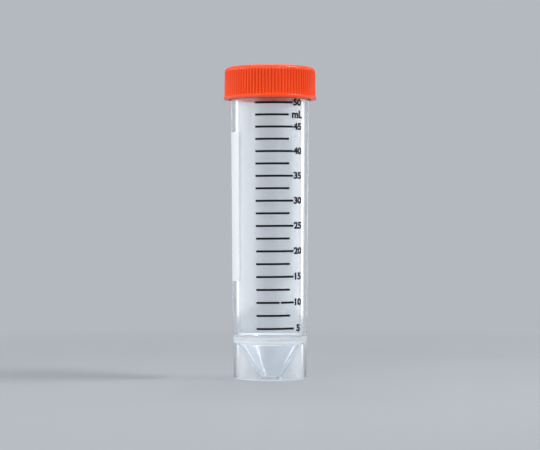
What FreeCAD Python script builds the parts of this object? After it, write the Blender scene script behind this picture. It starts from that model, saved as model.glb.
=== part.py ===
"""Self-standing 50 ml conical tube with a ribbed screw cap, as a parametric FreeCAD document.

Millimetres, +Z up. The origin is the centre of the tube's foot ring, on the surface that it stands on.
The tube and the cap are one moulding each, so each is one PartDesign body turned from a half section.
"""
import FreeCAD
import Part

import math
import os

import Sketcher

# Driving sizes. Lengths are in millimetres, angles in degrees, counts are whole numbers.
SIZES = {
    # Support skirt, the straight ring that the tube stands on.
    "foot_radius": 13.75,
    "foot_wall": 1.0,
    "foot_height": 14.6,
    "foot_edge": 0.25,
    # Body, tapered from the small step above the skirt up to the rim.
    "step_rise": 0.8,
    "step_round": 0.6,
    "body_radius_low": 14.0,
    "body_radius_rim": 14.78,
    "bore_radius_low": 12.83,
    "bore_radius_rim": 13.45,
    "rim_height": 115.7,
    "rim_edge": 0.3,
    # Conical bottom, whose flat tip hangs just clear of the standing surface.
    "tip_radius": 3.45,
    "tip_clearance": 0.5,
    "tip_floor": 1.3,
    "tip_round": 0.9,
    "cone_half_angle": 33.4,
    "cone_wall": 1.1,
    "shoulder_round": 3.0,
    "web_round": 0.5,
    # Outside screw thread on the neck: right-handed, one start.
    "thread_depth": 0.72,
    "thread_pitch": 3.2,
    "thread_turns": 1.75,
    "thread_base": 1.6,
    "thread_crest": 0.8,
    "thread_bite": 0.3,
    "thread_from_rim": 2.2,
    # Screw cap. Its depth is the inside height that covers the neck.
    "cap_depth": 10.8,
    "cap_top": 1.4,
    "cap_wall": 1.1,
    "cap_thread_clearance": 0.25,
    "cap_corner": 2.0,
    "cap_draft": 0.1,
    "lip_height": 1.1,
    "lip_overhang": 0.42,
    "lip_edge": 0.3,
    "rib_count": 88,
    "rib_depth": 0.35,
    "groove_root": 0.36,
    "groove_mouth": 0.84,
    # Plug seal, the ring inside the cap that enters the bore.
    "plug_clearance": 0.1,
    "plug_wall": 1.0,
    "plug_length": 3.0,
    "plug_taper": 0.2,
}

# Sizes that follow from the ones above, as expressions on the sheet.
CAP_BORE = "(sizes.body_radius_rim + sizes.thread_depth + sizes.cap_thread_clearance)"
RIB_RADIUS = "(%s + sizes.cap_wall + sizes.rib_depth)" % CAP_BORE
LIP_RADIUS = "(%s + sizes.lip_overhang)" % RIB_RADIUS
CAP_HEIGHT = "(sizes.cap_depth + sizes.cap_top)"
PLUG_RADIUS = "(sizes.bore_radius_rim - sizes.plug_clearance)"
THREAD_RISE = "(sizes.thread_turns * sizes.thread_pitch)"
THREAD_CREST_RADIUS = "(sizes.body_radius_rim + sizes.thread_depth)"

# How close an edge lies to its expected place, and how far the groove cutter reaches past the ribs.
EDGE_MATCH = 0.01
CUTTER_REACH = 1.0

# Sketcher's numbers for the origin, the two axes and the ends of a line.
H_AXIS = -1
V_AXIS = -2
ORIGIN = (-1, 1)
START = 1
END = 2


def make_sheet(doc):
    """Write the driving sizes into a spreadsheet, one row and one alias each."""
    sheet = doc.addObject("Spreadsheet::Sheet", "sizes")
    for row, (alias, value) in enumerate(SIZES.items(), start=1):
        sheet.set("A%d" % row, alias)
        sheet.set("B%d" % row, str(value))
        sheet.setAlias("B%d" % row, alias)
    doc.recompute()
    return sheet


def make_body(doc, label):
    """Add an empty body whose label names its file."""
    body = doc.addObject("PartDesign::Body", label)
    body.Label = label
    return body


def origin_plane(body, role):
    """Return the plane of the body's own origin that has this role."""
    for feature in body.Origin.OriginFeatures:
        if feature.Role == role:
            return feature
    raise ValueError("no origin plane " + role)


def make_sketch(body, name, role):
    """Add an empty sketch on one of the body's own origin planes."""
    sketch = body.newObject("Sketcher::SketchObject", name)
    sketch.AttachmentSupport = [(origin_plane(body, role), "")]
    sketch.MapMode = "FlatFace"
    return sketch


def add_outline(sketch, points):
    """Add a closed outline of straight lines. Line i runs from point i to the next one."""
    count = len(points)
    for index in range(count):
        first = FreeCAD.Vector(*points[index], 0)
        second = FreeCAD.Vector(*points[(index + 1) % count], 0)
        sketch.addGeometry(Part.LineSegment(first, second), False)
    for index in range(count):
        following = (index + 1) % count
        sketch.addConstraint(Sketcher.Constraint("Coincident", index, END, following, START))


def constrain(sketch, kind, lines):
    """Make each of these lines horizontal or vertical."""
    for line in lines:
        sketch.addConstraint(Sketcher.Constraint(kind, line))


def dimension(sketch, name, kind, where, start_value, expression):
    """Add a named dimension to a sketch and drive it from the sheet."""
    index = sketch.addConstraint(Sketcher.Constraint(kind, *where, start_value))
    sketch.renameConstraint(index, name)
    sketch.setExpression("Constraints." + name, expression)


def radius_to(sketch, name, line, end, start_value, expression):
    """Set how far a line's end lies from the turning axis."""
    dimension(sketch, name, "DistanceX", (*ORIGIN, line, end), start_value, expression)


def height_to(sketch, name, line, end, start_value, expression):
    """Set how high a line's end lies above the body's own base plane."""
    dimension(sketch, name, "DistanceY", (*ORIGIN, line, end), start_value, expression)


def turn(body, sketch, name):
    """Revolve a half section a full turn about the vertical axis."""
    feature = body.newObject("PartDesign::Revolution", name)
    feature.Profile = sketch
    feature.ReferenceAxis = (sketch, ["V_Axis"])
    feature.Angle = 360
    body.Document.recompute()
    return feature


def ring_edges(feature, rings):
    """Return the names of the circular edges at these (radius, height) places."""
    names = []
    for index, edge in enumerate(feature.Shape.Edges, start=1):
        if edge.Curve.TypeId != "Part::GeomCircle":
            continue
        for radius, height in rings:
            near_radius = abs(edge.Curve.Radius - radius) < EDGE_MATCH
            near_height = abs(edge.Curve.Center.z - height) < EDGE_MATCH
            if near_radius and near_height:
                names.append("Edge%d" % index)
    if len(names) != len(rings):
        raise ValueError("found %d of %d edges on %s" % (len(names), len(rings), feature.Name))
    return names


def round_rings(body, base, name, rings, size):
    """Round the circular edges at these (radius, height) places to one radius from the sheet."""
    feature = body.newObject("PartDesign::Fillet", name)
    feature.Base = (base, ring_edges(base, rings))
    feature.setExpression("Radius", "sizes." + size)
    body.Document.recompute()
    return feature


def tube_section(body, sheet):
    """Sketch the tube's half section, from the foot ring round by the rim and the cone."""
    lean = math.radians(sheet.cone_half_angle)
    slope = math.tan(lean)
    step_top = sheet.foot_height + sheet.step_rise
    foot_inside = sheet.foot_radius - sheet.foot_wall
    floor = sheet.tip_clearance + sheet.tip_floor
    inside_offset = sheet.cone_wall / math.cos(lean)
    crotch = sheet.tip_clearance + (foot_inside - sheet.tip_radius) / slope
    floor_radius = sheet.tip_radius + sheet.tip_floor * slope - inside_offset
    shoulder = floor + (sheet.bore_radius_low - floor_radius) / slope

    sketch = make_sketch(body, "tube_section", "XZ_Plane")
    points = [
        (foot_inside, 0),
        (sheet.foot_radius, 0),
        (sheet.foot_radius, sheet.foot_height),
        (sheet.body_radius_low, step_top),
        (sheet.body_radius_rim, sheet.rim_height),
        (sheet.bore_radius_rim, sheet.rim_height),
        (sheet.bore_radius_low, shoulder),
        (floor_radius, floor),
        (0, floor),
        (0, sheet.tip_clearance),
        (sheet.tip_radius, sheet.tip_clearance),
        (foot_inside, crotch),
    ]
    add_outline(sketch, points)
    foot, skirt, step, wall, rim, bore, cone_inside, floor_line, axis, tip, cone_outside, hollow = range(12)
    constrain(sketch, "Horizontal", (foot, rim, floor_line, tip))
    constrain(sketch, "Vertical", (skirt, axis, hollow))
    sketch.addConstraint(Sketcher.Constraint("PointOnObject", foot, START, H_AXIS))
    sketch.addConstraint(Sketcher.Constraint("PointOnObject", axis, START, V_AXIS))
    sketch.addConstraint(Sketcher.Constraint("Parallel", cone_inside, cone_outside))

    radius_to(sketch, "foot_radius", skirt, START, sheet.foot_radius, "sizes.foot_radius")
    radius_to(sketch, "foot_inside", foot, START, foot_inside, "sizes.foot_radius - sizes.foot_wall")
    height_to(sketch, "foot_height", skirt, END, sheet.foot_height, "sizes.foot_height")
    radius_to(sketch, "body_radius_low", wall, START, sheet.body_radius_low, "sizes.body_radius_low")
    height_to(sketch, "step_top", wall, START, step_top, "sizes.foot_height + sizes.step_rise")
    radius_to(sketch, "body_radius_rim", wall, END, sheet.body_radius_rim, "sizes.body_radius_rim")
    height_to(sketch, "rim_height", wall, END, sheet.rim_height, "sizes.rim_height")
    radius_to(sketch, "bore_radius_rim", bore, START, sheet.bore_radius_rim, "sizes.bore_radius_rim")
    radius_to(sketch, "bore_radius_low", bore, END, sheet.bore_radius_low, "sizes.bore_radius_low")
    radius_to(sketch, "tip_radius", tip, END, sheet.tip_radius, "sizes.tip_radius")
    height_to(sketch, "tip_clearance", tip, START, sheet.tip_clearance, "sizes.tip_clearance")
    height_to(sketch, "floor", axis, START, floor, "sizes.tip_clearance + sizes.tip_floor")
    dimension(sketch, "cone_slope", "Angle", (cone_outside,), math.pi / 2 - lean,
              "(90 - sizes.cone_half_angle) * 1 deg")
    dimension(sketch, "cone_wall", "Distance", (cone_inside, END, cone_outside), sheet.cone_wall,
              "sizes.cone_wall")
    corners = {
        "foot": [(foot_inside, 0), (sheet.foot_radius, 0)],
        "step": [(sheet.foot_radius, sheet.foot_height), (sheet.body_radius_low, step_top)],
        "rim": [(sheet.body_radius_rim, sheet.rim_height), (sheet.bore_radius_rim, sheet.rim_height)],
        "shoulder": [(sheet.bore_radius_low, shoulder)],
        "tip": [(sheet.tip_radius, sheet.tip_clearance), (floor_radius, floor)],
        "web": [(foot_inside, crotch)],
    }
    return sketch, corners


def add_neck_thread(body, sheet):
    """Wind the neck's screw thread: a ridge of trapezoid section that bites a little into the wall."""
    rise = sheet.thread_turns * sheet.thread_pitch
    middle = sheet.rim_height - sheet.thread_from_rim - sheet.thread_base / 2 - rise
    root = sheet.body_radius_rim - sheet.thread_bite
    crest = sheet.body_radius_rim + sheet.thread_depth
    sketch = make_sketch(body, "thread_section", "XZ_Plane")
    points = [
        (root, middle - sheet.thread_base / 2),
        (crest, middle - sheet.thread_crest / 2),
        (crest, middle + sheet.thread_crest / 2),
        (root, middle + sheet.thread_base / 2),
    ]
    add_outline(sketch, points)
    lower, face, upper, root_line = range(4)
    constrain(sketch, "Vertical", (face, root_line))
    sketch.addConstraint(Sketcher.Constraint("Equal", lower, upper))
    radius_to(sketch, "root", lower, START, root, "sizes.body_radius_rim - sizes.thread_bite")
    radius_to(sketch, "crest", face, START, crest, THREAD_CREST_RADIUS)
    height_to(sketch, "top", root_line, START, middle + sheet.thread_base / 2,
              "sizes.rim_height - sizes.thread_from_rim - " + THREAD_RISE)
    dimension(sketch, "base", "DistanceY", (lower, START, upper, END), sheet.thread_base,
              "sizes.thread_base")
    dimension(sketch, "crest_width", "DistanceY", (face, START, face, END), sheet.thread_crest,
              "sizes.thread_crest")

    helix = body.newObject("PartDesign::AdditiveHelix", "neck_thread")
    helix.Profile = sketch
    helix.ReferenceAxis = (sketch, ["V_Axis"])
    helix.Mode = "pitch-height-angle"
    helix.setExpression("Pitch", "sizes.thread_pitch")
    helix.setExpression("Height", THREAD_RISE)
    helix.LeftHanded = False
    helix.Reversed = False
    body.Document.recompute()
    return helix


def make_tube(doc, sheet):
    """The clear tube: skirt, cone, tapered body and threaded neck in one moulding."""
    body = make_body(doc, "tube")
    section, corners = tube_section(body, sheet)
    turned = turn(body, section, "tube_turned")
    rounded = round_rings(body, turned, "shoulder_rounded", corners["shoulder"], "shoulder_round")
    rounded = round_rings(body, rounded, "tip_rounded", corners["tip"], "tip_round")
    rounded = round_rings(body, rounded, "web_rounded", corners["web"], "web_round")
    rounded = round_rings(body, rounded, "step_rounded", corners["step"], "step_round")
    rounded = round_rings(body, rounded, "foot_rounded", corners["foot"], "foot_edge")
    round_rings(body, rounded, "rim_rounded", corners["rim"], "rim_edge")
    add_neck_thread(body, sheet)
    return body


def cap_section(body, sheet):
    """Sketch the cap's half section, from its rim round by the lip, the top and the plug seal."""
    bore = sheet.body_radius_rim + sheet.thread_depth + sheet.cap_thread_clearance
    rib = bore + sheet.cap_wall + sheet.rib_depth
    lip = rib + sheet.lip_overhang
    height = sheet.cap_depth + sheet.cap_top
    plug = sheet.bore_radius_rim - sheet.plug_clearance
    plug_end = sheet.cap_depth - sheet.plug_length

    sketch = make_sketch(body, "cap_section", "XZ_Plane")
    points = [
        (bore, 0),
        (lip, 0),
        (lip, sheet.lip_height),
        (rib, sheet.lip_height),
        (rib - sheet.cap_draft, height),
        (0, height),
        (0, sheet.cap_depth),
        (plug - sheet.plug_wall, sheet.cap_depth),
        (plug - sheet.plug_wall, plug_end),
        (plug - sheet.plug_taper, plug_end),
        (plug, sheet.cap_depth),
        (bore, sheet.cap_depth),
    ]
    add_outline(sketch, points)
    rim, lip_side, lip_top, side, top, axis = range(6)
    ceiling, plug_inside, plug_tip, plug_outside, seat, bore_line = range(6, 12)
    constrain(sketch, "Horizontal", (rim, lip_top, top, ceiling, plug_tip, seat))
    constrain(sketch, "Vertical", (lip_side, axis, plug_inside, bore_line))
    sketch.addConstraint(Sketcher.Constraint("PointOnObject", rim, START, H_AXIS))
    sketch.addConstraint(Sketcher.Constraint("PointOnObject", axis, START, V_AXIS))

    radius_to(sketch, "bore", rim, START, bore, CAP_BORE)
    radius_to(sketch, "lip", rim, END, lip, LIP_RADIUS)
    height_to(sketch, "lip_height", lip_side, END, sheet.lip_height, "sizes.lip_height")
    radius_to(sketch, "rib", side, START, rib, RIB_RADIUS)
    radius_to(sketch, "rib_top", side, END, rib - sheet.cap_draft, RIB_RADIUS + " - sizes.cap_draft")
    height_to(sketch, "height", top, START, height, CAP_HEIGHT)
    height_to(sketch, "depth", axis, END, sheet.cap_depth, "sizes.cap_depth")
    height_to(sketch, "seat_height", seat, START, sheet.cap_depth, "sizes.cap_depth")
    radius_to(sketch, "plug", plug_outside, END, plug, PLUG_RADIUS)
    radius_to(sketch, "plug_tip", plug_outside, START, plug - sheet.plug_taper,
              PLUG_RADIUS + " - sizes.plug_taper")
    radius_to(sketch, "plug_inside", plug_inside, START, plug - sheet.plug_wall,
              PLUG_RADIUS + " - sizes.plug_wall")
    height_to(sketch, "plug_end", plug_inside, END, plug_end, "sizes.cap_depth - sizes.plug_length")
    corners = {
        "top": [(rib - sheet.cap_draft, height)],
        "lip": [(lip, 0), (lip, sheet.lip_height)],
    }
    return sketch, corners


def cut_grooves(body, sheet):
    """Cut the grooves that leave the grip ribs standing between the lip and the top's round corner."""
    bore = sheet.body_radius_rim + sheet.thread_depth + sheet.cap_thread_clearance
    root = bore + sheet.cap_wall
    mouth = root + sheet.rib_depth + CUTTER_REACH
    flare = (sheet.groove_mouth - sheet.groove_root) / sheet.rib_depth
    mouth_width = sheet.groove_root + flare * (sheet.rib_depth + CUTTER_REACH)
    sketch = make_sketch(body, "groove_section", "XY_Plane")
    sketch.setExpression("AttachmentOffset.Base.z", "sizes.lip_height")
    points = [
        (root, -sheet.groove_root / 2),
        (mouth, -mouth_width / 2),
        (mouth, mouth_width / 2),
        (root, sheet.groove_root / 2),
    ]
    add_outline(sketch, points)
    flank, mouth_line, other_flank, root_line = range(4)
    constrain(sketch, "Vertical", (mouth_line,))
    sketch.addConstraint(Sketcher.Constraint("Symmetric", root_line, START, root_line, END, H_AXIS))
    sketch.addConstraint(Sketcher.Constraint("Equal", flank, other_flank))
    radius_to(sketch, "root", flank, START, root, CAP_BORE + " + sizes.cap_wall")
    radius_to(sketch, "mouth", flank, END, mouth, "%s + %g" % (RIB_RADIUS, CUTTER_REACH))
    dimension(sketch, "root_width", "DistanceY", (flank, START, other_flank, END), sheet.groove_root,
              "sizes.groove_root")
    dimension(sketch, "mouth_width", "DistanceY", (mouth_line, START, mouth_line, END), mouth_width,
              "sizes.groove_root + (sizes.groove_mouth - sizes.groove_root) / sizes.rib_depth"
              " * (sizes.rib_depth + %g)" % CUTTER_REACH)

    groove = body.newObject("PartDesign::Pocket", "groove")
    groove.Profile = sketch
    groove.Type = "Length"
    groove.setExpression("Length", CAP_HEIGHT)
    groove.Reversed = True
    body.Document.recompute()

    ring = body.newObject("PartDesign::PolarPattern", "groove_ring")
    ring.Originals = [groove]
    ring.Axis = (sketch, ["N_Axis"])
    ring.Angle = 360
    ring.setExpression("Occurrences", "sizes.rib_count")
    body.Tip = ring
    body.Document.recompute()
    return ring


def make_screw_cap(doc, sheet):
    """The orange cap: ribbed side, smooth lip, flat top and plug seal in one moulding."""
    body = make_body(doc, "screw_cap")
    body.setExpression("Placement.Base.z", "sizes.rim_height - sizes.cap_depth")
    section, corners = cap_section(body, sheet)
    turned = turn(body, section, "cap_turned")
    rounded = round_rings(body, turned, "corner_rounded", corners["top"], "cap_corner")
    rounded = round_rings(body, rounded, "lip_rounded", corners["lip"], "lip_edge")
    smooth_volume = rounded.Shape.Volume
    ring = cut_grooves(body, sheet)
    if ring.Shape.Volume >= smooth_volume:
        raise ValueError("the grip grooves cut nothing")
    return body


def check_document(doc, bodies):
    """Stop unless every object recomputed and each body is one valid closed solid."""
    for item in doc.Objects:
        if "Invalid" in item.State or "Error" in item.State:
            raise ValueError(item.Name + " did not recompute")
    for body in bodies:
        shape = body.Shape
        if shape.isNull() or not shape.isValid() or len(shape.Solids) != 1:
            raise ValueError(body.Label + " is not one valid solid")


def write_parts(bodies):
    """Write each body to its own STEP file and print its size."""
    os.makedirs("parts", exist_ok=True)
    for body in bodies:
        body.Shape.exportStep("parts/%s.step" % body.Label)
        box = body.Shape.BoundBox
        print("%s: %.1f mm3, x %.2f..%.2f, z %.2f..%.2f" % (
            body.Label, body.Shape.Volume, box.XMin, box.XMax, box.ZMin, box.ZMax))


def main():
    """Build the document, check it and write the parts."""
    doc = FreeCAD.newDocument("conical_tube")
    sheet = make_sheet(doc)
    bodies = [make_tube(doc, sheet), make_screw_cap(doc, sheet)]
    doc.recompute()
    check_document(doc, bodies)
    write_parts(bodies)


main()
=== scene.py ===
"""The looks of a self-standing 50 ml conical tube with a ribbed screw cap.

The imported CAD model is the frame. A clear moulding stands for the CAD tube, an orange moulding for
the CAD cap, and the printed scale and writing patch are thin films of ink on the tube's outside.
"""
import logging
import math
from dataclasses import dataclass, field
from enum import Enum

import bmesh
import bpy
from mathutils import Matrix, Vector


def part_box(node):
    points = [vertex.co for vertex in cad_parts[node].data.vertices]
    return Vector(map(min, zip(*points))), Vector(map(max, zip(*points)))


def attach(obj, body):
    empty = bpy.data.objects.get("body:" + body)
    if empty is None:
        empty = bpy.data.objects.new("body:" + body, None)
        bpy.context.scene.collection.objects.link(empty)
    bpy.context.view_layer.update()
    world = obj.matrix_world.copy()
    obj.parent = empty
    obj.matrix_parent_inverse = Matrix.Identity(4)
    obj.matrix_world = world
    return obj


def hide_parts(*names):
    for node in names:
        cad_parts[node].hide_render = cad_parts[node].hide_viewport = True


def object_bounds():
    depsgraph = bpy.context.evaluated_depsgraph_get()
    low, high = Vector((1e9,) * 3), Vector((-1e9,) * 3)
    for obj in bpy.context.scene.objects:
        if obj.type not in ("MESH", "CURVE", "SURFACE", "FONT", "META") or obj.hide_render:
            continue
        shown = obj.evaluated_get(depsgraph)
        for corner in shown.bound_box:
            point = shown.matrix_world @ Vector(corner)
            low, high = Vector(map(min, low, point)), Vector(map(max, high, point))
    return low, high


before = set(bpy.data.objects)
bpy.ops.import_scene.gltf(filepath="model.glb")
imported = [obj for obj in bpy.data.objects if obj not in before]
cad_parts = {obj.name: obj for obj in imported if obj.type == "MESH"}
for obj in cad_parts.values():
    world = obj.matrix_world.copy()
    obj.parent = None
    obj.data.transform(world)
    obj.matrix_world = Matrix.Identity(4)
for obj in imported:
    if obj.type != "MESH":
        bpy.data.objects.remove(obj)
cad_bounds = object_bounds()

log = logging.getLogger("conical_tube")

MM = 0.001
TURN = 2 * math.pi
DEGREE = math.pi / 180
MERGE = 0.0001 * MM  # vertices nearer than this become one
FINER_LAYERS = 0.55  # how strong each finer layer of noise is
CRISP = 30  # in degrees: a sharper edge isn't shaded smooth
FIGURE_ARCS = 3  # how finely each curve of a figure is divided
PLUG_CLEARANCE = 0.1 * MM  # between the cap's plug and the tube's bore

Colour = tuple[float, float, float]


# ---------------------------------------------------------------------------------------------
# Shader nodes
# ---------------------------------------------------------------------------------------------


class Value:
    """A number that varies over a surface, as a node's output. Python arithmetic adds Math nodes."""

    def __init__(self, shader: "Shader", socket: bpy.types.NodeSocket) -> None:
        """Wrap an output socket.

        Args:
            shader: The node tree that the socket belongs to.
            socket: The output that carries the number.
        """
        self.shader = shader
        self.socket = socket

    def _math(self, operation: str, first: object, second: object) -> "Value":
        """Add one Math node.

        Args:
            operation: Blender's name for the operation.
            first: A Value or a number.
            second: A Value or a number.

        Returns:
            The node's output.
        """
        node = self.shader.node("ShaderNodeMath", {"operation": operation}, {0: first, 1: second})
        return Value(self.shader, node.outputs[0])

    def __add__(self, other: object) -> "Value":
        """Return self + other."""
        return self._math("ADD", self, other)

    def __radd__(self, other: object) -> "Value":
        """Return other + self."""
        return self._math("ADD", other, self)

    def __sub__(self, other: object) -> "Value":
        """Return self - other."""
        return self._math("SUBTRACT", self, other)

    def __rsub__(self, other: object) -> "Value":
        """Return other - self."""
        return self._math("SUBTRACT", other, self)

    def __mul__(self, other: object) -> "Value":
        """Return self * other."""
        return self._math("MULTIPLY", self, other)

    def __rmul__(self, other: object) -> "Value":
        """Return other * self."""
        return self._math("MULTIPLY", other, self)

    def ramp(self, low: float, high: float) -> "Value":
        """Rescale, so that low becomes 0 and high becomes 1.

        Args:
            low: What becomes 0.
            high: What becomes 1.

        Returns:
            The rescaled number, held between 0 and 1.
        """
        inputs = {"Value": self, "From Min": low, "From Max": high}
        node = self.shader.node("ShaderNodeMapRange", {"clamp": True}, inputs)
        return Value(self.shader, node.outputs[0])


class Shader:
    """The node tree of one material, or of the world."""

    def __init__(self, owner: bpy.types.Material | bpy.types.World) -> None:
        """Empty the node tree.

        Args:
            owner: The material or world that the tree belongs to.
        """
        self.owner = owner
        self.owner.use_nodes = True
        self.tree = self.owner.node_tree
        self.tree.nodes.clear()

    def node(self, kind: str, settings: dict, inputs: dict) -> bpy.types.Node:
        """Add one node.

        Args:
            kind: The node's type.
            settings: The node's own properties, set first.
            inputs: A value, a socket or a Value for each input, by name or number.

        Returns:
            The new node.
        """
        node = self.tree.nodes.new(kind)
        for key, value in settings.items():
            setattr(node, key, value)
        for key, value in inputs.items():
            if isinstance(value, Value):
                value = value.socket
            if isinstance(value, bpy.types.NodeSocket):
                self.tree.links.new(value, node.inputs[key])
            else:
                node.inputs[key].default_value = value
        return node

    def place(self) -> bpy.types.NodeSocket:
        """Return the output that carries the place on the piece."""
        return self.node("ShaderNodeTexCoord", {}, {}).outputs["Object"]

    def noise(self, size: float, detail: float, upright: float = 1.0) -> Value:
        """Add noise on the piece's own coordinates.

        Args:
            size: How far apart the noise's blobs lie, in metres.
            detail: How many finer layers it has.
            upright: How much finer it is along the upright axis. Below 1, it is drawn out.

        Returns:
            The noise, from 0 to 1.
        """
        inputs = {"Vector": self.place(), "Scale": (1, 1, upright)}
        mapping = self.node("ShaderNodeMapping", {}, inputs)
        inputs = {
            "Vector": mapping.outputs[0],
            "Scale": 1 / size,
            "Detail": detail,
            "Roughness": FINER_LAYERS,
        }
        return Value(self, self.node("ShaderNodeTexNoise", {}, inputs).outputs[0])

    def along(self, axis: str) -> Value:
        """Return where the place on the piece is along one axis.

        Args:
            axis: The axis, X, Y or Z.

        Returns:
            The coordinate, in metres.
        """
        parts = self.node("ShaderNodeSeparateXYZ", {}, {0: self.place()})
        return Value(self, parts.outputs[axis])

    def radius(self) -> Value:
        """Return how far the place on the piece is from the upright axis.

        Returns:
            The distance, in metres.
        """
        inputs = {0: self.place(), 1: (1, 1, 0)}
        flat = self.node("ShaderNodeVectorMath", {"operation": "MULTIPLY"}, inputs)
        length = self.node("ShaderNodeVectorMath", {"operation": "LENGTH"}, {0: flat.outputs[0]})
        return Value(self, length.outputs["Value"])

    def blend(
        self, share: Value, first: Colour | bpy.types.NodeSocket, second: Colour
    ) -> bpy.types.NodeSocket:
        """Mix two colours.

        Args:
            share: How much of the second colour shows.
            first: The colour at 0, or the output that carries it.
            second: The colour at 1.

        Returns:
            The mixed colour.
        """
        start = (*first, 1) if isinstance(first, tuple) else first
        inputs = {"Factor": share, "A": start, "B": (*second, 1)}
        return self.node("ShaderNodeMix", {"data_type": "RGBA"}, inputs).outputs["Result"]

    def bump(self, height: Value, depth: float, strength: float = 1.0) -> bpy.types.NodeSocket:
        """Turn a height into a normal.

        Args:
            height: The height, from 0 to 1.
            depth: What a height of 1 stands for, in metres.
            strength: How much of the relief shows.

        Returns:
            The normal.
        """
        node = self.node("ShaderNodeBump", {}, {"Height": height, "Distance": depth, "Strength": strength})
        return node.outputs[0]

    def light_path(self, kind: str) -> Value:
        """Ask what kind of ray meets the surface.

        Args:
            kind: The name of the Light Path output, such as Is Shadow Ray.

        Returns:
            1 for a ray of that kind and 0 for any other, or the ray's depth.
        """
        path = self.node("ShaderNodeLightPath", {}, {})
        return Value(self, path.outputs[kind])

    def seen(self) -> Value:
        """Pick out the rays that look at the surface, straight on, in a shine or through plastic.

        Returns:
            1 or more for such a ray, and 0 for any other.
        """
        return (
            self.light_path("Is Camera Ray")
            + self.light_path("Is Glossy Ray")
            + self.light_path("Is Transmission Ray")
        )

    def mix(
        self, share: Value | float, first: bpy.types.NodeSocket, second: bpy.types.NodeSocket
    ) -> bpy.types.NodeSocket:
        """Mix two shaders.

        Args:
            share: How much of the second shader shows.
            first: The shader at 0.
            second: The shader at 1.

        Returns:
            The mixed shader.
        """
        return self.node("ShaderNodeMixShader", {}, {0: share, 1: first, 2: second}).outputs[0]

    def finish(self, shader: bpy.types.NodeSocket) -> bpy.types.Material | bpy.types.World:
        """Send a shader to the output.

        Args:
            shader: The shader's output.

        Returns:
            The finished material or world.
        """
        is_world = isinstance(self.owner, bpy.types.World)
        output = "ShaderNodeOutputWorld" if is_world else "ShaderNodeOutputMaterial"
        self.node(output, {}, {"Surface": shader})
        return self.owner


# ---------------------------------------------------------------------------------------------
# Finishes
# ---------------------------------------------------------------------------------------------


@dataclass(frozen=True)
class ClearPlastic:
    """Natural polypropylene: clear, faintly cloudy, with soft moulding ripples down its length."""

    tint: Colour = (0.955, 0.975, 0.995)
    haze_colour: Colour = (0.90, 0.93, 0.95)
    haze: float = 0.04
    belt_haze: float = 0.6
    belt_low: float = 13.6 * MM
    belt_high: float = 16.0 * MM
    cone_haze: float = 0.01
    cone_radius: float = 12.6 * MM
    scuff_haze: float = 0.5
    scuff_height: float = 0.7 * MM
    edge: float = 0.4 * MM
    refraction: float = 1.49
    roughness: float = 0.04
    roughness_spread: float = 0.05
    haze_roughness: float = 0.5
    haze_spread: float = 0.04
    cloud_size: float = 3 * MM
    ripple_size: float = 9 * MM
    ripple_stretch: float = 0.12
    ripple: float = 0.02 * MM

    def material(self) -> bpy.types.Material:
        """Build the plastic.

        Returns:
            The material.
        """
        shader = Shader(bpy.data.materials.new("clear_plastic"))
        flow = shader.noise(self.ripple_size, detail=2, upright=self.ripple_stretch)
        cloud = shader.noise(self.cloud_size, detail=3)
        relief = shader.bump(flow, self.ripple)
        glass = shader.node(
            "ShaderNodeBsdfPrincipled",
            {},
            {
                "Base Color": (*self.tint, 1),
                "Roughness": cloud * self.roughness_spread + self.roughness,
                "IOR": self.refraction,
                "Transmission Weight": 1.0,
                "Normal": relief,
            },
        )
        milk = shader.node(
            "ShaderNodeBsdfPrincipled",
            {},
            {
                "Base Color": (*self.haze_colour, 1),
                "Roughness": self.haze_roughness,
                "Normal": relief,
            },
        )
        height = shader.along("Z")
        above = height.ramp(self.belt_low - self.edge, self.belt_low + self.edge)
        below = height.ramp(self.belt_high + self.edge, self.belt_high - self.edge)
        inside = shader.radius().ramp(self.cone_radius + self.edge, self.cone_radius)
        belt = above * below * self.belt_haze
        cone = (1 - above) * inside * self.cone_haze
        scuffed = height.ramp(self.scuff_height, 0) * self.scuff_haze
        even = self.haze - self.haze_spread / 2
        share = cloud * self.haze_spread + even + belt + cone + scuffed
        cloudy = shader.mix(share, glass.outputs[0], milk.outputs[0])
        open_way = shader.node("ShaderNodeBsdfTransparent", {}, {"Color": (*self.tint, 1)}).outputs[0]
        lamps_pass = shader.mix(shader.light_path("Is Shadow Ray"), cloudy, open_way)
        soft_light_passes = shader.mix(shader.light_path("Is Diffuse Ray"), lamps_pass, open_way)
        return shader.finish(soft_light_passes)


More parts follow.
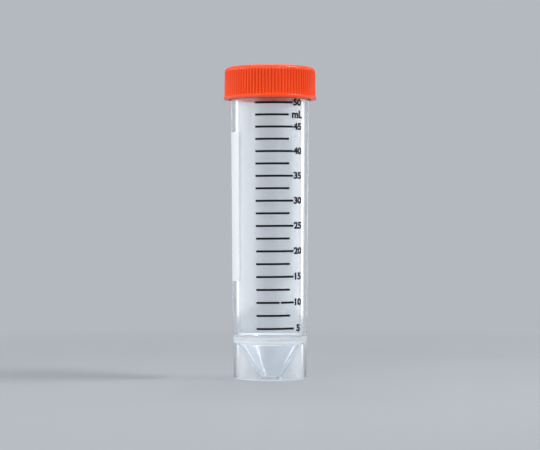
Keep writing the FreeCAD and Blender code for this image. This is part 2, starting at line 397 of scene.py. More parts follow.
@dataclass(frozen=True)
class OrangePlastic:
    """Orange polyethylene: satin, slightly uneven in colour, with painted shade down in the grip's
    grooves.
    """

    crest_radius: float
    root_radius: float
    grip_top: float
    colour: Colour = (0.93, 0.060, 0.002)
    light_colour: Colour = (0.96, 0.082, 0.004)
    # painted shade: the darker colour that the grooves' colour is blended towards
    groove_colour: Colour = (0.45, 0.014, 0.001)
    groove_share: float = 0.5
    roughness: float = 0.15
    sheen: float = 0.32
    roughness_spread: float = 0.12
    refraction: float = 1.5
    glow: float = 0.3
    glow_depth: float = 1.6 * MM
    glow_reach: Colour = (1.0, 0.25, 0.08)
    flow_size: float = 6 * MM
    grain_size: float = 0.35 * MM
    grain: float = 0.012 * MM
    groove_fade_start: float = 0.2 * MM
    groove_fade_end: float = 0.05 * MM
    groove_run_out: float = 1 * MM

    def grooves(self, shader: Shader) -> Value:
        """Find the grip's grooves, where shade is painted into the colour.

        Args:
            shader: The node tree to add to.

        Returns:
            How deep in a groove the place is, from 0 to 1.
        """
        radius = shader.radius()
        deep = radius.ramp(self.crest_radius, self.root_radius)
        fade_start = self.root_radius - self.groove_fade_start
        outside = radius.ramp(fade_start, self.root_radius - self.groove_fade_end)
        below = shader.along("Z").ramp(self.grip_top, self.grip_top - self.groove_run_out)
        return deep * outside * below

    def material(self) -> bpy.types.Material:
        """Build the plastic.

        Returns:
            The material.
        """
        shader = Shader(bpy.data.materials.new("orange_plastic"))
        flow = shader.noise(self.flow_size, detail=3)
        grain = shader.noise(self.grain_size, detail=2)
        colour = shader.blend(flow, self.colour, self.light_colour)
        # Painted shade: the base colour darkens down in the grooves, where less light would reach
        shaded = self.grooves(shader) * self.groove_share
        plastic = shader.node(
            "ShaderNodeBsdfPrincipled",
            {},
            {
                "Base Color": shader.blend(shaded, colour, self.groove_colour),
                "Roughness": flow * self.roughness_spread + self.roughness,
                "IOR": self.refraction,
                "Specular IOR Level": self.sheen,
                "Subsurface Weight": self.glow,
                "Subsurface Radius": self.glow_reach,
                "Subsurface Scale": self.glow_depth,
                "Normal": shader.bump(grain, self.grain),
            },
        )
        return shader.finish(plastic.outputs[0])


@dataclass(frozen=True)
class Ink:
    """Screen-printed ink: a thin matt film, a little uneven in colour and thickness."""

    name: str
    colour: Colour
    worn_colour: Colour
    roughness: float
    grain: float
    sheen: float
    roughness_spread: float = 0.15
    cover_size: float = 1.2 * MM
    screen_size: float = 0.25 * MM

    def material(self) -> bpy.types.Material:
        """Build the ink.

        Returns:
            The material.
        """
        shader = Shader(bpy.data.materials.new(self.name))
        cover = shader.noise(self.cover_size, detail=4)
        screen = shader.noise(self.screen_size, detail=1)
        ink = shader.node(
            "ShaderNodeBsdfPrincipled",
            {},
            {
                "Base Color": shader.blend(cover, self.colour, self.worn_colour),
                "Roughness": screen * self.roughness_spread + self.roughness,
                "Specular IOR Level": self.sheen,
                "Normal": shader.bump(screen, self.grain),
            },
        )
        return shader.finish(ink.outputs[0])


SCALE_INK = Ink(
    name="scale_ink",
    colour=(0.002, 0.003, 0.006),
    worn_colour=(0.009, 0.010, 0.016),
    roughness=0.5,
    grain=0.01 * MM,
    sheen=0.08,
)
PATCH_INK = Ink(
    name="patch_ink",
    colour=(0.9, 0.91, 0.92),
    worn_colour=(0.83, 0.85, 0.87),
    roughness=0.6,
    grain=0.02 * MM,
    sheen=0.3,
)


@dataclass(frozen=True)
class StudioPaper:
    """Plain pale paper. It takes the tube's shadow near by, and looks evenly pale further off."""

    colour: Colour = (0.330, 0.348, 0.370)
    far_colour: Colour = (0.46, 0.485, 0.52)
    roughness: float = 0.9
    gloss: float = 0.03
    gloss_roughness: float = 0.22
    gloss_spread: float = 0.05
    fibre_size: float = 30 * MM
    near: float = 150 * MM
    far: float = 320 * MM

    def material(self) -> bpy.types.Material:
        """Build the paper.

        Returns:
            The material.
        """
        shader = Shader(bpy.data.materials.new("studio_paper"))
        fibre = shader.noise(self.fibre_size, detail=2)
        paper = shader.node(
            "ShaderNodeBsdfPrincipled",
            {},
            {
                "Base Color": (*self.colour, 1),
                "Roughness": self.roughness,
                "Specular IOR Level": 0.0,
            },
        )
        fine = fibre * self.gloss_spread + self.gloss_roughness
        polish = shader.node("ShaderNodeBsdfGlossy", {}, {"Roughness": fine})
        sheet = shader.mix(self.gloss, paper.outputs[0], polish.outputs[0])
        look = shader.node("ShaderNodeEmission", {}, {"Color": (*self.far_colour, 1)})
        away = shader.radius().ramp(self.near, self.far)
        return shader.finish(shader.mix(shader.seen() * away, sheet, look.outputs[0]))


# ---------------------------------------------------------------------------------------------
# Turned shapes
# ---------------------------------------------------------------------------------------------


@dataclass(frozen=True)
class Corner:
    """A corner of a half section: how far out and up it is, its rounding and that arc's segments."""

    out: float
    up: float
    rounding: float = 0.0
    arc: int = 5


def round_corner(section: bmesh.types.BMesh, vertex: bmesh.types.BMVert, corner: Corner) -> None:
    """Round one corner of a half section to an arc.

    Args:
        section: The half section, as a chain of edges.
        vertex: The corner's vertex.
        corner: The corner's radius and number of arc segments.
    """
    arms = [(edge.other_vert(vertex).co - vertex.co).normalized() for edge in vertex.link_edges]
    half_angle = arms[0].angle(arms[1]) / 2
    bmesh.ops.bevel(
        section,
        geom=[vertex],
        offset=corner.rounding / math.tan(half_angle),
        offset_type="OFFSET",
        segments=corner.arc,
        profile=0.5,
        affect="VERTICES",
        material=-1,
    )


def spin_section(corners: list[Corner], rows: list[float], steps: int) -> bmesh.types.BMesh:
    """Turn a half section about the vertical axis into a closed skin.

    Args:
        corners: The section's corners, from one end on the axis to the other.
        rows: Heights at which the skin gets an extra ring of vertices.
        steps: How many segments go round.

    Returns:
        The closed mesh, with its faces outwards.
    """
    mesh = bmesh.new()
    chain = [mesh.verts.new((corner.out, 0, corner.up)) for corner in corners]
    for first, second in zip(chain, chain[1:]):
        mesh.edges.new((first, second))
    for vertex, corner in zip(chain, corners):
        if corner.rounding > 0:
            round_corner(mesh, vertex, corner)
    for height in rows:
        geometry = mesh.verts[:] + mesh.edges[:]
        bmesh.ops.bisect_plane(
            mesh, geom=geometry, dist=MERGE, plane_co=(0, 0, height), plane_no=(0, 0, 1)
        )
    bmesh.ops.spin(
        mesh,
        geom=mesh.verts[:] + mesh.edges[:],
        cent=(0, 0, 0),
        axis=(0, 0, 1),
        dvec=(0, 0, 0),
        angle=TURN,
        steps=steps,
        use_merge=True,
        use_duplicate=False,
    )
    bmesh.ops.remove_doubles(mesh, verts=mesh.verts[:], dist=MERGE)
    bmesh.ops.recalc_face_normals(mesh, faces=mesh.faces[:])
    return mesh


def make_piece(name: str, mesh: bmesh.types.BMesh, sharp_angle: float) -> bpy.types.Object:
    """Turn a bmesh into a smooth-shaded object at the origin.

    Args:
        name: The piece's name.
        mesh: Its mesh, which is freed.
        sharp_angle: Edges sharper than this stay crisp, in degrees.

    Returns:
        The new object.
    """
    data = bpy.data.meshes.new(name)
    mesh.to_mesh(data)
    mesh.free()
    data.shade_smooth()
    data.set_sharp_from_angle(angle=sharp_angle * DEGREE)
    piece = bpy.data.objects.new(name, data)
    bpy.context.scene.collection.objects.link(piece)
    return piece


@dataclass(frozen=True)
class Thread:
    """One right-handed screw thread, as a ridge that stands out from, or into, a round wall."""

    start: float
    pitch: float
    turns: float
    depth: float
    base: float
    crest: float
    run_out: float = 0.12

    def ridge(self, angle: float, height: float) -> float:
        """Work out how far the ridge stands off the wall at one place.

        Args:
            angle: The place's angle about the axis, in radians.
            height: The place's height, in metres.

        Returns:
            The ridge's height off the wall there, in metres.
        """
        tallest = 0.0
        for whole in range(math.ceil(self.turns) + 1):
            turned = (angle % TURN) / TURN + whole
            if turned > self.turns:
                break
            off_centre = abs(height - self.start - turned * self.pitch)
            flank = (self.base - self.crest) / 2
            rise = (self.base / 2 - off_centre) / flank
            fade = min(turned, self.turns - turned) / self.run_out
            tallest = max(tallest, min(rise, 1.0) * min(fade, 1.0))
        return tallest * self.depth

    def rows(self, spacing: float) -> list[float]:
        """List the heights that the ridge crosses.

        Args:
            spacing: How far apart the heights lie.

        Returns:
            The heights, from the ridge's foot to its top.
        """
        low = self.start - self.base / 2
        count = math.ceil((self.turns * self.pitch + self.base) / spacing)
        return [low + index * spacing for index in range(count + 1)]


def push_radially(vertex: bmesh.types.BMVert, distance: float) -> None:
    """Move a vertex away from the axis.

    Args:
        vertex: The vertex to move.
        distance: How far out it goes, or in if it is negative.
    """
    radius = math.hypot(vertex.co.x, vertex.co.y)
    scale = (radius + distance) / radius
    vertex.co.x *= scale
    vertex.co.y *= scale


# ---------------------------------------------------------------------------------------------
# The tube
# ---------------------------------------------------------------------------------------------


@dataclass
class Tube:
    """The clear tube: support skirt, conical bottom, tapered body and threaded neck."""

    rim_height: float
    thread_crest_radius: float
    foot_radius: float = 13.75 * MM
    foot_wall: float = 1.0 * MM
    foot_height: float = 14.6 * MM
    step_rise: float = 0.8 * MM
    body_radius_low: float = 14.0 * MM
    body_radius_rim: float = 14.78 * MM
    bore_radius_low: float = 12.83 * MM
    bore_radius_rim: float = 13.45 * MM
    tip_radius: float = 3.45 * MM
    tip_clearance: float = 0.5 * MM
    tip_floor: float = 1.3 * MM
    cone_half_angle: float = 33.4 * DEGREE
    cone_wall: float = 1.1 * MM
    tip_round: float = 0.9 * MM
    shoulder_round: float = 3.0 * MM
    rim_edge: float = 0.3 * MM
    step_round: float = 0.6 * MM
    foot_edge: float = 0.25 * MM
    web_round: float = 0.5 * MM
    thread_pitch: float = 3.2 * MM
    thread_turns: float = 1.75
    thread_base: float = 1.6 * MM
    thread_crest: float = 0.8 * MM
    thread_from_rim: float = 2.2 * MM
    thread_row: float = 0.2 * MM
    plain_rim: float = 1 * MM
    steps: int = 160
    sharp_angle: float = 40
    thread: Thread = field(init=False)

    def __post_init__(self) -> None:
        """Work out the neck thread from the rim and the crest radius."""
        top = self.rim_height - self.thread_from_rim - self.thread_base / 2
        self.thread = Thread(
            start=top - self.thread_turns * self.thread_pitch,
            pitch=self.thread_pitch,
            turns=self.thread_turns,
            depth=self.thread_crest_radius - self.body_radius_rim,
            base=self.thread_base,
            crest=self.thread_crest,
        )

    def outside_radius(self, height: float) -> float:
        """Return the body's outside radius at a height above the skirt.

        Args:
            height: The height above the standing surface.

        Returns:
            The radius there.
        """
        low = self.foot_height + self.step_rise
        share = (height - low) / (self.rim_height - low)
        return self.body_radius_low + share * (self.body_radius_rim - self.body_radius_low)

    def corners(self) -> list[Corner]:
        """List the half section's corners, from the inside of the tip round to its outside.

        Returns:
            The corners in order.
        """
        slope = math.tan(self.cone_half_angle)
        floor = self.tip_clearance + self.tip_floor
        foot_inside = self.foot_radius - self.foot_wall
        cone_across = self.cone_wall / math.cos(self.cone_half_angle)
        floor_radius = self.tip_radius + self.tip_floor * slope - cone_across
        shoulder = floor + (self.bore_radius_low - floor_radius) / slope
        crotch = self.tip_clearance + (foot_inside - self.tip_radius) / slope
        step_top = self.foot_height + self.step_rise
        return [
            Corner(0, floor),
            Corner(floor_radius, floor, self.tip_round),
            Corner(self.bore_radius_low, shoulder, self.shoulder_round, arc=8),
            Corner(self.bore_radius_rim, self.rim_height, self.rim_edge, arc=4),
            Corner(self.body_radius_rim, self.rim_height, self.rim_edge, arc=4),
            Corner(self.body_radius_low, step_top, self.step_round, arc=4),
            Corner(self.foot_radius, self.foot_height, self.step_round, arc=4),
            Corner(self.foot_radius, 0, self.foot_edge, arc=4),
            Corner(foot_inside, 0, self.foot_edge, arc=4),
            Corner(foot_inside, crotch, self.web_round),
            Corner(self.tip_radius, self.tip_clearance, self.tip_round),
            Corner(0, self.tip_clearance),
        ]

    def build(self) -> bpy.types.Object:
        """Build the tube's mesh and dress it.

        Returns:
            The clear tube.
        """
        mesh = spin_section(self.corners(), self.thread.rows(self.thread_row), self.steps)
        middle = (self.bore_radius_rim + self.body_radius_rim) / 2
        for vertex in mesh.verts:
            radius = math.hypot(vertex.co.x, vertex.co.y)
            if radius > middle and vertex.co.z < self.rim_height - self.plain_rim:
                angle = math.atan2(vertex.co.y, vertex.co.x)
                push_radially(vertex, self.thread.ridge(angle, vertex.co.z))
        piece = make_piece("clear_tube", mesh, self.sharp_angle)
        piece.data.materials.append(ClearPlastic().material())
        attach(piece, "tube")
        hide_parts("tube")
        return piece


# ---------------------------------------------------------------------------------------------
# The cap
# ---------------------------------------------------------------------------------------------


@dataclass
class ScrewCap:
    """The orange cap: ribbed side, smooth lip, flat top, inside thread and plug seal."""

    rim_height: float
    top_height: float
    lip_radius: float
    seat_height: float
    plug_radius: float
    neck_thread: Thread
    lip_overhang: float = 0.42 * MM
    lip_height: float = 1.1 * MM
    rib_depth: float = 0.35 * MM
    wall: float = 1.1 * MM
    draft: float = 0.1 * MM
    corner: float = 2.0 * MM
    plug_wall: float = 1.0 * MM
    plug_length: float = 3.0 * MM
    plug_taper: float = 0.2 * MM
    edge: float = 0.3 * MM
    plug_edge: float = 0.4 * MM
    grip_edge: float = 0.15 * MM
    ribs: int = 88
    steps_per_rib: int = 8
    groove_power: float = 0.6
    grip_gap: float = 0.02 * MM
    thread_depth: float = 0.55 * MM
    thread_turns: float = 1.6
    thread_base: float = 1.1 * MM
    thread_crest: float = 0.5 * MM
    thread_shift: float = 0.42
    thread_row: float = 0.25 * MM
    plain_seat: float = 0.5 * MM
    bore_margin: float = 0.05 * MM
    sharp_angle: float = 50

    def corners(self) -> list[Corner]:
        """List the half section's corners, from the inside of the top round to its outside.

        Returns:
            The corners in order.
        """
        rib = self.lip_radius - self.lip_overhang
        bore = rib - self.rib_depth - self.wall
        plug_end = self.seat_height - self.plug_length
        lip_top = self.rim_height + self.lip_height
        return [
            Corner(0, self.seat_height),
            Corner(self.plug_radius - self.plug_wall, self.seat_height, self.edge, arc=3),
            Corner(self.plug_radius - self.plug_wall, plug_end, self.edge, arc=3),
            Corner(self.plug_radius - self.plug_taper, plug_end, self.plug_edge, arc=4),
            Corner(self.plug_radius, self.seat_height),
            Corner(bore, self.seat_height, self.edge, arc=3),
            Corner(bore, self.rim_height, self.edge, arc=3),
            Corner(self.lip_radius, self.rim_height, self.edge, arc=4),
            Corner(self.lip_radius, lip_top, self.edge, arc=4),
            Corner(rib, lip_top, self.grip_edge, arc=2),
            Corner(rib - self.draft, self.top_height, self.corner, arc=10),
            Corner(0, self.top_height),
        ]

    def groove(self, angle: float) -> float:
        """Return how deep the grip's surface lies below a rib's crest at an angle.

        Args:
            angle: The angle about the axis, in radians.

        Returns:
            The depth below the crest.
        """
        crest = 0.5 + 0.5 * math.cos(self.ribs * angle)
        return self.rib_depth * (1 - crest**self.groove_power)

    def inside_thread(self) -> Thread:
        """Return the thread inside the cap, which runs between the turns of the neck's.

        Returns:
            The thread.
        """
        return Thread(
            start=self.neck_thread.start + self.neck_thread.pitch * self.thread_shift,
            pitch=self.neck_thread.pitch,
            turns=self.thread_turns,
            depth=self.thread_depth,
            base=self.thread_base,
            crest=self.thread_crest,
        )

    def build(self) -> bpy.types.Object:
        """Build the cap's mesh and dress it.

        Returns:
            The cap.
        """
        rib = self.lip_radius - self.lip_overhang
        root = rib - self.rib_depth - self.draft
        bore = rib - self.rib_depth - self.wall
        inside = self.inside_thread()
        steps = self.ribs * self.steps_per_rib
        mesh = spin_section(self.corners(), inside.rows(self.thread_row), steps)
        grip_foot = self.rim_height + self.lip_height + self.grip_gap
        thread_top = self.seat_height - self.plain_seat
        for vertex in mesh.verts:
            radius = math.hypot(vertex.co.x, vertex.co.y)
            angle = math.atan2(vertex.co.y, vertex.co.x)
            if radius > root and vertex.co.z > grip_foot:
                push_radially(vertex, -min(self.groove(angle), radius - root))
            elif abs(radius - bore) < self.bore_margin and vertex.co.z < thread_top:
                push_radially(vertex, -inside.ridge(angle, vertex.co.z))
        piece = make_piece("screw_cap_moulding", mesh, self.sharp_angle)
        plastic = OrangePlastic(rib, root, self.top_height - self.corner / 2)
        piece.data.materials.append(plastic.material())
        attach(piece, "cap")
        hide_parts("screw_cap")
        return piece


# ---------------------------------------------------------------------------------------------
# The print on the tube
# ---------------------------------------------------------------------------------------------


@dataclass(frozen=True)
class Print:
    """How flat artwork wraps onto the tube: along runs to the right, up runs along the axis."""

    tube: Tube
    lean: float = 0.42 * DEGREE
    lean_height: float = 57 * MM
    sunk: float = 0.03 * MM
    proud: float = 0.03 * MM
    widest_chord: float = 0.6 * MM

    def thicken(self, mesh: bmesh.types.BMesh) -> None:
        """Give flat artwork the ink's thickness, from just inside the wall to just outside it.

        Args:
            mesh: Artwork in the XY plane, with X along and Y up.
        """
        for vertex in mesh.verts:
            vertex.co.z = -self.sunk
        side = bmesh.ops.extrude_face_region(mesh, geom=mesh.faces[:])
        top = [item for item in side["geom"] if isinstance(item, bmesh.types.BMVert)]
        bmesh.ops.translate(mesh, vec=(0, 0, self.sunk + self.proud), verts=top)

    def cut_upright(self, mesh: bmesh.types.BMesh) -> None:
        """Cut artwork along upright lines, so that it can bend round the tube.

        Args:
            mesh: Artwork in the XY plane.
        """
        low = min(vertex.co.x for vertex in mesh.verts)
        high = max(vertex.co.x for vertex in mesh.verts)
        count = math.ceil((high - low) / self.widest_chord)
        for index in range(1, count):
            along = low + (high - low) * index / count
            geometry = mesh.verts[:] + mesh.edges[:] + mesh.faces[:]
            bmesh.ops.bisect_plane(
                mesh, geom=geometry, dist=MERGE, plane_co=(along, 0, 0), plane_no=(1, 0, 0)
            )

    def wrap(self, mesh: bmesh.types.BMesh) -> None:
        """Wrap thickened artwork round the tube's front, and turn its faces outwards.

        Args:
            mesh: Artwork with X along, Y up and Z off the wall.
        """
        for vertex in mesh.verts:
            along, up, off = vertex.co
            rise = up - self.lean_height
            leaned = along * math.cos(self.lean) - rise * math.sin(self.lean)
            height = self.lean_height + rise * math.cos(self.lean) + along * math.sin(self.lean)
            wall = self.tube.outside_radius(height)
            angle = leaned / wall
            radius = wall + off
            vertex.co = Vector((radius * math.sin(angle), -radius * math.cos(angle), height))
        mesh.normal_update()  # the next step goes by the faces' normals, which the bend left behind
        bmesh.ops.recalc_face_normals(mesh, faces=mesh.faces[:])

    def bar(self, left: float, right: float, low: float, high: float) -> bmesh.types.BMesh:
        """Make one flat rectangle of ink.

        Args:
            left: Its left edge.
            right: Its right edge.
            low: Its lower edge.
            high: Its upper edge.

        Returns:
            The rectangle, cut so that it can bend.
        """
        mesh = bmesh.new()
        bmesh.ops.create_grid(mesh, x_segments=1, y_segments=1, size=0.5)
        bmesh.ops.scale(mesh, vec=(right - left, high - low, 1), verts=mesh.verts[:])
        bmesh.ops.translate(mesh, vec=((left + right) / 2, (low + high) / 2, 0), verts=mesh.verts[:])
        self.cut_upright(mesh)
        return mesh


def join_meshes(parts: list[bmesh.types.BMesh]) -> bmesh.types.BMesh:
    """Join several meshes into one.

    Args:
        parts: The meshes, which are freed.

    Returns:
        The joined mesh.
    """
    whole = bmesh.new()
    for part in parts:
        data = bpy.data.meshes.new("part")
        part.to_mesh(data)
        part.free()
        whole.from_mesh(data)
        bpy.data.meshes.remove(data)
    return whole


def flat_text(text: str, height: float, stretch: float, weight: float) -> bmesh.types.BMesh:
    """Make flat text, centred on the origin.

    Args:
        text: What it says.
        height: How tall its figures are.
        stretch: How much wider they are than the plain font's.
        weight: How much its strokes are thickened, each side.

    Returns:
        The text's mesh in the XY plane.
    """
    curve = bpy.data.curves.new("text", "FONT")
    curve.body = text
    curve.size = 1.0
    curve.resolution_u = FIGURE_ARCS
    holder = bpy.data.objects.new("text", curve)
    bpy.context.scene.collection.objects.link(holder)
    bpy.context.view_layer.update()
    plain = bpy.data.meshes.new_from_object(holder)
    tall = max(vertex.co.y for vertex in plain.vertices)
    bpy.data.meshes.remove(plain)
    scale = (height - 2 * weight) / tall
    curve.offset = weight / scale
    bpy.context.view_layer.update()
    data = bpy.data.meshes.new_from_object(holder.evaluated_get(bpy.context.evaluated_depsgraph_get()))
    bpy.data.objects.remove(holder)
    bpy.data.curves.remove(curve)
    mesh = bmesh.new()
    mesh.from_mesh(data)
    bpy.data.meshes.remove(data)
    xs = [vertex.co.x for vertex in mesh.verts]
    ys = [vertex.co.y for vertex in mesh.verts]
    centre = Vector(((min(xs) + max(xs)) / 2, (min(ys) + max(ys)) / 2, 0))
    bmesh.ops.translate(mesh, vec=-centre, verts=mesh.verts[:])
    bmesh.ops.scale(mesh, vec=(scale * stretch, scale, 1), verts=mesh.verts[:])
    bmesh.ops.remove_doubles(mesh, verts=mesh.verts[:], dist=MERGE)
    return mesh


class Mark(Enum):
    """The two kinds of line on the scale, each with how far it reaches to the right."""

    MAJOR = 9.3 * MM
    MINOR = 7.6 * MM


@dataclass
class VolumeScale:
    """The black volume scale: a line every 2.5 ml, a number every 5 ml and the unit near the top."""

    artwork: Print
    lowest_volume: int = 5
    highest_volume: int = 50
    volume_step: int = 5
    first_height: float = 19.25 * MM
    first_spacing: float = 9.697 * MM
    spacing_loss: float = 0.043 * MM
    left: float = -5.35 * MM
    line_width: float = 0.78 * MM
    number_centre: float = 11.55 * MM
    number_height: float = 2.65 * MM
    number_stretch: float = 1.2
    unit_height: float = 2.95 * MM
    unit_stretch: float = 1.08
    label_rise: float = 0.15 * MM
    weight: float = 0.17 * MM
    worn_volume: int = 10
    worn_left: float = 3.4 * MM
    worn_right: float = 3.85 * MM

    def height_of(self, volume: float) -> float:
        """Return where a volume's line lies. The bore widens upwards, so the lines draw together.

        Args:
            volume: The volume in millilitres.

        Returns:
            The line's height.
        """
        place = (volume - self.lowest_volume) / self.volume_step
        return self.first_height + self.first_spacing * place - self.spacing_loss * place * place

    def volumes(self) -> list[int]:
        """Return the numbered volumes."""
        return list(range(self.lowest_volume, self.highest_volume + 1, self.volume_step))

    def line(self, volume: float, mark: Mark) -> list[bmesh.types.BMesh]:
        """Make one line of the scale. One line has a small gap, where its ink is worn away.

        Args:
            volume: The volume that it marks.
            mark: Which kind of line it is.

        Returns:
            The flat line, or the two sides of the worn one.
        """
        height = self.height_of(volume)
        half = self.line_width / 2
        spans = [(self.left, mark.value)]
        if volume == self.worn_volume:
            spans = [(self.left, self.worn_left), (self.worn_right, mark.value)]
        return [self.artwork.bar(left, right, height - half, height + half) for left, right in spans]

    def label(self, text: str, volume: float, tall: float, stretch: float) -> bmesh.types.BMesh:
        """Make one number, or the unit, beside a volume's line.

        Args:
            text: What it says.
            volume: The volume whose line it stands beside.
            tall: How tall its figures are.
            stretch: How much wider they are than the plain font's.

        Returns:
            The flat text.
        """
        mesh = flat_text(text, tall, stretch, self.weight)
        height = self.height_of(volume) + self.label_rise
        bmesh.ops.translate(mesh, vec=(self.number_centre, height, 0), verts=mesh.verts[:])
        self.artwork.cut_upright(mesh)
        return mesh

    def print_piece(
        self, name: str, parts: list[bmesh.types.BMesh], ink: bpy.types.Material
    ) -> bpy.types.Object:
        """Join flat artwork into one piece of ink on the tube.

        Args:
            name: The piece's name.
            parts: The flat artwork.
            ink: The ink that it is printed in.

        Returns:
            The printed piece.
        """
        mesh = join_meshes(parts)
        self.artwork.thicken(mesh)
        self.artwork.wrap(mesh)
        piece = make_piece(name, mesh, CRISP)
        piece.data.materials.append(ink)
        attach(piece, "tube")
        return piece

    def build(self) -> list[bpy.types.Object]:
        """Build the whole scale.

        Returns:
            The lines, the numbers and the unit.
        """
        ink = SCALE_INK.material()
        halves = [volume + self.volume_step / 2 for volume in self.volumes()[:-1]]
        marks = [(volume, Mark.MAJOR) for volume in self.volumes()]
        marks += [(volume, Mark.MINOR) for volume in halves]
        lines = [bar for volume, mark in marks for bar in self.line(volume, mark)]
        numbers = [
            self.label(str(volume), volume, self.number_height, self.number_stretch)
            for volume in self.volumes()
        ]
        unit = [self.label("mL", halves[-1], self.unit_height, self.unit_stretch)]
        return [
            self.print_piece("scale_lines", lines, ink),
            self.print_piece("scale_numbers", numbers, ink),
            self.print_piece("scale_unit", unit, ink),
        ]


@dataclass
class WritingPatch:
    """The white patch on the tube's left side, for writing on."""

    artwork: Print
    left: float = -29.0 * MM
    right: float = -13.45 * MM
    low: float = 36.6 * MM
    high: float = 92.5 * MM

    def build(self) -> bpy.types.Object:
        """Build the patch.

        Returns:
            The printed patch.
        """
        mesh = self.artwork.bar(self.left, self.right, self.low, self.high)
        self.artwork.thicken(mesh)
        self.artwork.wrap(mesh)
        piece = make_piece("writing_patch", mesh, CRISP)
        piece.data.materials.append(PATCH_INK.material())
        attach(piece, "tube")
        return piece


# ---------------------------------------------------------------------------------------------
# The studio
# ---------------------------------------------------------------------------------------------


@dataclass(frozen=True)
class Lamp:
    """One soft lamp. It stands off the tube at an angle from the camera, and faces the tube.

    A positive angle is to the camera's right. Angles are in degrees, lengths in metres and power
    in watts. Only a lamp that shows through is seen in clear plastic.
    """

    name: str
    angle: float
    distance: float
    height: float
    width: float
    tall: float
    power: float
    spread: float = 180.0
    shows_through: bool = False

    def build(self, aim: Vector) -> None:
        """Hang the lamp.

        Args:
            aim: The point that it faces.
        """
        light = bpy.data.lights.new(self.name, "AREA")
        light.shape = "RECTANGLE"
        light.size = self.width
        light.size_y = self.tall
        light.energy = self.power
        light.spread = self.spread * DEGREE
        turn = self.angle * DEGREE
        holder = bpy.data.objects.new(self.name, light)
        holder.location = (self.distance * math.sin(turn), -self.distance * math.cos(turn), self.height)
        holder.rotation_euler = (aim - holder.location).to_track_quat("-Z", "Y").to_euler()
        holder.visible_transmission = self.shows_through
        bpy.context.scene.collection.objects.link(holder)


# Each lamp's name, angle, distance, height, width, tall side, power and, where it isn't 180, spread.
LAMPS = (
    Lamp("fill", -30, 1.00, 0.70, 0.70, 0.5, 8.2),
    Lamp("soft_left", -80, 0.85, 0.55, 0.60, 0.6, 2.9),
    Lamp("soft_right", 75, 0.85, 0.55, 0.60, 0.6, 2.2),
    Lamp("edge_left", -164, 0.40, 0.075, 0.02, 0.15, 0.0003, 24, shows_through=True),
    Lamp("edge_right", 164, 0.40, 0.075, 0.016, 0.15, 0.0004, 24, shows_through=True),
    Lamp("high_right", 81, 0.60, 0.80, 0.34, 0.24, 6.0, shows_through=True),
    Lamp("top", 180, 0.40, 0.95, 0.60, 0.50, 2.4),
)


@dataclass(frozen=True)
class LightCard:
    """A curved card that stands beside the tube. It shows only where it is mirrored, as a pale band.

    Its angles are from the camera, in degrees, and a positive angle is to the camera's right. Its
    lengths are in metres.
    """

    name: str
    start: float
    end: float
    level: float
    fade_start: float
    fade_end: float
    distance: float = 0.30
    top: float = 0.13
    steps: int = 40

    def depth(self, angle: float) -> float:
        """Return how far back the card is at an angle.

        Args:
            angle: The angle, in degrees.

        Returns:
            The place along the Y axis, in metres.
        """
        return -self.distance * math.cos(angle * DEGREE)

    def material(self) -> bpy.types.Material:
        """Build the glow, which fades away towards the camera.

        Returns:
            The material.
        """
        shader = Shader(bpy.data.materials.new(self.name))
        mirrored = shader.light_path("Glossy Depth").ramp(0, 1)
        scattered = shader.light_path("Diffuse Depth").ramp(0, 1)
        fade = shader.along("Y").ramp(self.depth(self.fade_start), self.depth(self.fade_end))
        strength = mirrored * (1 - scattered) * fade * self.level
        glow = shader.node("ShaderNodeEmission", {}, {"Strength": strength})
        clear = shader.node("ShaderNodeBsdfTransparent", {}, {})
        both = shader.node("ShaderNodeAddShader", {}, {0: clear.outputs[0], 1: glow.outputs[0]})
        return shader.finish(both.outputs[0])

    def build(self) -> None:
        """Build the card."""
        mesh = bmesh.new()
        side = (self.distance * math.sin(self.start * DEGREE), self.depth(self.start))
        ends = [mesh.verts.new((*side, height)) for height in (0, self.top)]
        bmesh.ops.spin(
            mesh,
            geom=[*ends, mesh.edges.new(ends)],
            cent=(0, 0, 0),
            axis=(0, 0, 1),
            dvec=(0, 0, 0),
            angle=(self.end - self.start) * DEGREE,
            steps=self.steps,
            use_merge=False,
            use_duplicate=False,
        )
        card = make_piece(self.name, mesh, CRISP)
        card.data.materials.append(self.material())


# Each card's name, start, end, level, and the angles where its glow starts and is full.
CARDS = (
    LightCard("card_left", -125, -12, 1.8, 12, 52),
    LightCard("card_right", 15, 125, 1.7, 15, 80),
)


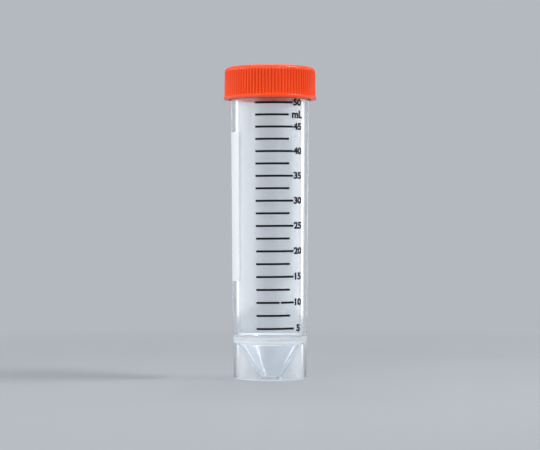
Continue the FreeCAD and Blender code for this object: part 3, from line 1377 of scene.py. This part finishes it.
@dataclass
class Studio:
    """A plain pale floor in an evenly pale room, soft lamps and a level camera."""

    aim: Vector
    eye_height: float = 57.7 * MM
    distance: float = 675 * MM
    lens: float = 119.25
    sensor: float = 36.0
    nearest: float = 10 * MM
    floor_size: float = 14.0
    floor_gap: float = 0.03 * MM
    room_colour: Colour = (0.86, 0.9, 0.96)
    room_level: float = 0.28
    paper: StudioPaper = StudioPaper()

    def build_floor(self) -> None:
        """Build the floor."""
        mesh = bmesh.new()
        bmesh.ops.create_grid(mesh, x_segments=1, y_segments=1, size=self.floor_size / 2)
        bmesh.ops.translate(mesh, vec=(0, 0, -self.floor_gap), verts=mesh.verts[:])
        floor = make_piece("studio_floor", mesh, CRISP)
        floor.data.materials.append(self.paper.material())

    def build_lamps(self) -> None:
        """Hang the soft lamps and stand up the cards."""
        for lamp in LAMPS:
            lamp.build(self.aim)
        for card in CARDS:
            card.build()

    def build_room(self) -> None:
        """Set the plain light of the room, which looks as pale as the floor wherever it is seen."""
        shader = Shader(bpy.data.worlds.new("room"))
        light = shader.node(
            "ShaderNodeBackground", {}, {"Color": (*self.room_colour, 1), "Strength": self.room_level}
        )
        look = shader.node("ShaderNodeBackground", {}, {"Color": (*self.paper.far_colour, 1)})
        room = shader.mix(shader.seen(), light.outputs[0], look.outputs[0])
        bpy.context.scene.world = shader.finish(room)

    def build_camera(self) -> None:
        """Set up the level camera in front of the scale."""
        data = bpy.data.cameras.new("camera")
        data.sensor_width = self.sensor
        data.lens = self.lens
        data.clip_start = self.nearest
        camera = bpy.data.objects.new("camera", data)
        camera.location = (0, -self.distance, self.eye_height)
        camera.rotation_euler = (math.pi / 2, 0, 0)
        bpy.context.scene.collection.objects.link(camera)
        bpy.context.scene.camera = camera

    def build(self) -> None:
        """Build the camera, the floor, the lamps and the room."""
        self.build_camera()
        self.build_floor()
        self.build_lamps()
        self.build_room()
        bpy.context.scene.view_settings.view_transform = "Standard"


def main() -> None:
    """Build every piece round the frame and report it, then build the studio."""
    logging.basicConfig(level=logging.INFO, format="%(message)s")
    _, tube_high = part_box("tube")
    cap_low, cap_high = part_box("screw_cap")
    tube = Tube(rim_height=tube_high.z, thread_crest_radius=tube_high.x)
    cap = ScrewCap(
        rim_height=cap_low.z,
        top_height=cap_high.z,
        lip_radius=cap_high.x,
        seat_height=tube_high.z,
        plug_radius=tube.bore_radius_rim - PLUG_CLEARANCE,
        neck_thread=tube.thread,
    )
    pieces = [
        tube.build(),
        cap.build(),
        *VolumeScale(Print(tube)).build(),
        WritingPatch(Print(tube, lean=0.0)).build(),
    ]
    for piece in pieces:
        log.info("%s: %d faces", piece.name, len(piece.data.polygons))
    Studio(aim=Vector((0, 0, cad_bounds[1][2] / 2))).build()


if __name__ == "__main__":
    main()
